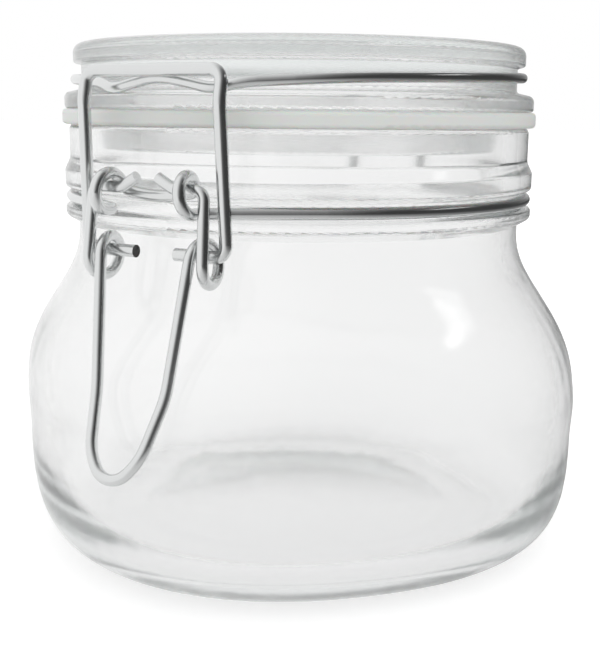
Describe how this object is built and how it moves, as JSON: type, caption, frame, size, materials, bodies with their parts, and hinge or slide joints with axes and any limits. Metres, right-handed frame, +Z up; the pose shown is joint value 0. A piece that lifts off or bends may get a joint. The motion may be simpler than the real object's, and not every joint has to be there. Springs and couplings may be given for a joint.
{
  "type": "clip-top jar",
  "caption": "Clear glass storage jar with a domed shoulder and a hinged glass lid, held on a rubber gasket by a wire lever clasp.",
  "frame": {"origin": "centre of the base on the surface that the jar stands on, on the axis of the neck", "axes": "+Z up the neck's axis, -Y towards the clasp, +Y towards the lid's hinge, X across the clasp"},
  "size_m": [0.116, 0.1229, 0.0983],
  "materials": {
    "glass": "clear pressed glass, smooth",
    "lid_glass": "clear pressed glass, smooth",
    "gasket": "pale translucent rubber",
    "wire": "satin drawn steel wire"
  },
  "bodies": {
    "body": {"jar": "glass", "neck_ring": "wire"},
    "lid_assembly": {"lid": "lid_glass", "gasket": "gasket", "lid_hoop": "wire"},
    "lever": {"lever": "wire"},
    "stirrup": {"stirrup": "wire"}
  },
  "joints": [
    {"name": "lid_hinge", "type": "hinge", "parent": "body", "child": "lid_assembly", "pos_m": [0, 0.0515, 0.08065], "axis": [-1, 0, 0], "range_deg": [0, 60]},
    {"name": "lever_pivot", "type": "hinge", "parent": "body", "child": "lever", "pos_m": [0, -0.052, 0.07305], "axis": [-1, 0, 0], "range_deg": [0, 25]},
    {"name": "stirrup_pivot", "type": "hinge", "parent": "lever", "child": "stirrup", "pos_m": [0, -0.05, 0.0621], "axis": [1, 0, 0], "range_deg": [0, 155]}
  ],
  "couplings": [
    {"joint": "lever_pivot", "follows": "lid_hinge", "ratio": 0.4166},
    {"joint": "stirrup_pivot", "follows": "lid_hinge", "ratio": 2.5833}
  ]
}
